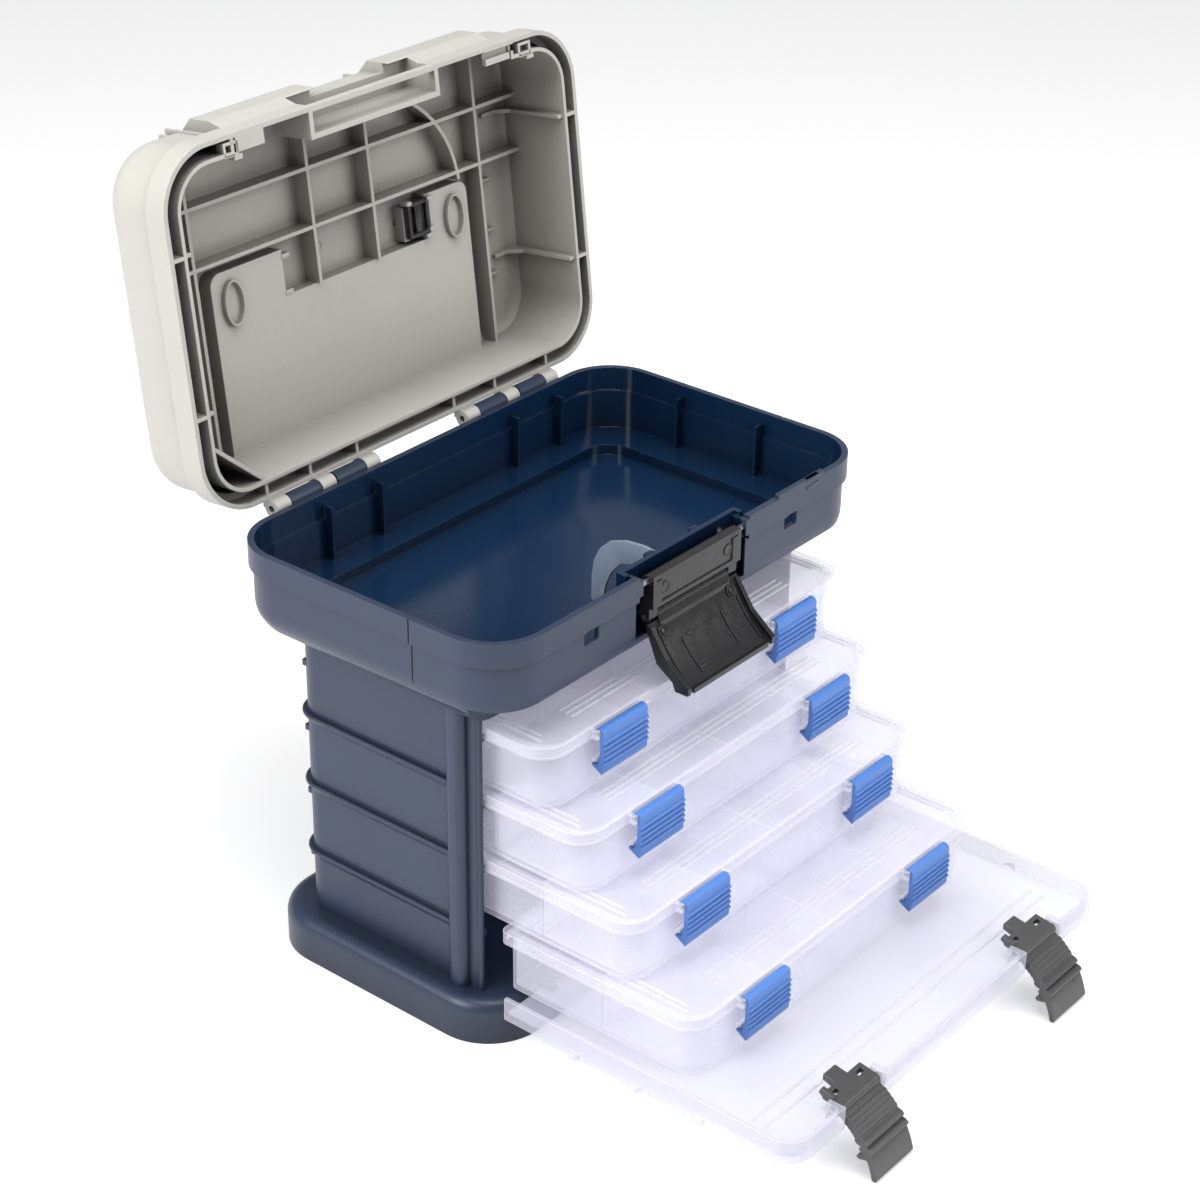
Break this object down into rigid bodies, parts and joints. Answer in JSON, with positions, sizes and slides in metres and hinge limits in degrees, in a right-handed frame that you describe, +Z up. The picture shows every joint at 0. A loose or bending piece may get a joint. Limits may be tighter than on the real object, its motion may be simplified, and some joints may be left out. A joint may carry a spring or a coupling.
{
  "type": "tackle box",
  "caption": "Upright tackle box with a lidded top bin, clear slide-out organisers in a cabinet and a fold-down clear door.",
  "frame": {"origin": "centre of the base's underside, half way along the depth of the bin's rim", "axes": "+X to the right seen from the front, +Y to the back (the door side faces -Y), +Z up"},
  "size_m": [0.272, 0.4043, 0.3891],
  "materials": {
    "navy_shell": "fine matt grain",
    "grey_lid": "fine matt grain",
    "black_latch": "satin",
    "blue_latch": "satin",
    "clear_box": "frosted clear",
    "clear_door": "clear",
    "steel_pin": "drawn wire"
  },
  "bodies": {
    "case": {"top_bin": "navy_shell", "cabinet_shell": "navy_shell", "base_plinth": "navy_shell", "base_screws": "steel_pin", "lid_hinge_pin_left": "steel_pin", "lid_hinge_pin_right": "steel_pin", "latch_link_pin": "steel_pin", "door_hinge_pin_left": "steel_pin", "door_hinge_pin_right": "steel_pin"},
    "lid": {"lid_shell": "grey_lid", "handle_pin_left": "steel_pin", "handle_pin_right": "steel_pin"},
    "handle": {"carry_handle": "black_latch"},
    "latch_link": {"main_latch_link": "black_latch", "latch_lever_pin": "steel_pin"},
    "latch_lever": {"main_latch_lever": "black_latch"},
    "door": {"front_door": "clear_door", "door_latch_pin_left": "steel_pin", "door_latch_pin_right": "steel_pin"},
    "door_latch_left": {"door_latch_left": "black_latch"},
    "door_latch_right": {"door_latch_right": "black_latch"},
    "tray_1": {"tray_1_box": "clear_box", "tray_1_lid": "clear_box", "tray_1_dividers": "clear_box"},
    "tray_1_latch_left": {"tray_1_latch_left": "blue_latch"},
    "tray_1_latch_right": {"tray_1_latch_right": "blue_latch"},
    "tray_2": {"tray_2_box": "clear_box", "tray_2_lid": "clear_box", "tray_2_dividers": "clear_box"},
    "tray_2_latch_left": {"tray_2_latch_left": "blue_latch"},
    "tray_2_latch_right": {"tray_2_latch_right": "blue_latch"},
    "tray_3": {"tray_3_box": "clear_box", "tray_3_lid": "clear_box", "tray_3_dividers": "clear_box"},
    "tray_3_latch_left": {"tray_3_latch_left": "blue_latch"},
    "tray_3_latch_right": {"tray_3_latch_right": "blue_latch"},
    "tray_4": {"tray_4_box": "clear_box", "tray_4_lid": "clear_box", "tray_4_dividers": "clear_box"},
    "tray_4_latch_left": {"tray_4_latch_left": "blue_latch"},
    "tray_4_latch_right": {"tray_4_latch_right": "blue_latch"}
  },
  "joints": [
    {"name": "lid_hinge", "type": "hinge", "parent": "case", "child": "lid", "pos_m": [0, 0.0875, 0.2165], "axis": [1, 0, 0], "range_deg": [0, 96.6]},
    {"name": "handle_hinge", "type": "hinge", "parent": "lid", "child": "handle", "pos_m": [0, 0.14072, 0.30145], "axis": [1, 0, 0], "range_deg": [0, 90]},
    {"name": "latch_link_hinge", "type": "hinge", "parent": "case", "child": "latch_link", "pos_m": [-0.0025, -0.0804, 0.2115], "axis": [1, 0, 0], "range_deg": [-110, 0]},
    {"name": "latch_lever_hinge", "type": "hinge", "parent": "latch_link", "child": "latch_lever", "pos_m": [-0.0025, -0.0796, 0.193], "axis": [1, 0, 0], "range_deg": [-90, 0]},
    {"name": "door_hinge", "type": "hinge", "parent": "case", "child": "door", "pos_m": [0, -0.0775, 0.0208], "axis": [-1, 0, 0], "range_deg": [-7, 0]},
    {"name": "door_latch_left_hinge", "type": "hinge", "parent": "door", "child": "door_latch_left", "pos_m": [-0.073, -0.231, 0.029], "axis": [1, 0, 0], "range_deg": [-20, 55]},
    {"name": "door_latch_right_hinge", "type": "hinge", "parent": "door", "child": "door_latch_right", "pos_m": [0.073, -0.231, 0.029], "axis": [1, 0, 0], "range_deg": [-20, 55]},
    {"name": "tray_1_slide", "type": "slide", "parent": "case", "child": "tray_1", "axis": [0, -1, 0], "range_m": [-0.0313, 0.0717]},
    {"name": "tray_2_slide", "type": "slide", "parent": "case", "child": "tray_2", "axis": [0, -1, 0], "range_m": [-0.053, 0.05]},
    {"name": "tray_3_slide", "type": "slide", "parent": "case", "child": "tray_3", "axis": [0, -1, 0], "range_m": [-0.08, 0.023]},
    {"name": "tray_4_slide", "type": "slide", "parent": "case", "child": "tray_4", "axis": [0, -1, 0], "range_m": [-0.115, 0]},
    {"name": "tray_1_latch_left_hinge", "type": "hinge", "parent": "tray_1", "child": "tray_1_latch_left", "pos_m": [-0.0643, -0.0912, 0.1584], "axis": [-1, 0, 0], "range_deg": [0, 100]},
    {"name": "tray_1_latch_right_hinge", "type": "hinge", "parent": "tray_1", "child": "tray_1_latch_right", "pos_m": [0.0643, -0.0912, 0.1584], "axis": [-1, 0, 0], "range_deg": [0, 100]},
    {"name": "tray_2_latch_left_hinge", "type": "hinge", "parent": "tray_2", "child": "tray_2_latch_left", "pos_m": [-0.0643, -0.1129, 0.1238], "axis": [-1, 0, 0], "range_deg": [0, 100]},
    {"name": "tray_2_latch_right_hinge", "type": "hinge", "parent": "tray_2", "child": "tray_2_latch_right", "pos_m": [0.0643, -0.1129, 0.1238], "axis": [-1, 0, 0], "range_deg": [0, 100]},
    {"name": "tray_3_latch_left_hinge", "type": "hinge", "parent": "tray_3", "child": "tray_3_latch_left", "pos_m": [-0.0643, -0.1399, 0.0892], "axis": [-1, 0, 0], "range_deg": [0, 100]},
    {"name": "tray_3_latch_right_hinge", "type": "hinge", "parent": "tray_3", "child": "tray_3_latch_right", "pos_m": [0.0643, -0.1399, 0.0892], "axis": [-1, 0, 0], "range_deg": [0, 100]},
    {"name": "tray_4_latch_left_hinge", "type": "hinge", "parent": "tray_4", "child": "tray_4_latch_left", "pos_m": [-0.0643, -0.1749, 0.0546], "axis": [-1, 0, 0], "range_deg": [0, 100]},
    {"name": "tray_4_latch_right_hinge", "type": "hinge", "parent": "tray_4", "child": "tray_4_latch_right", "pos_m": [0.0643, -0.1749, 0.0546], "axis": [-1, 0, 0], "range_deg": [0, 100]}
  ]
}
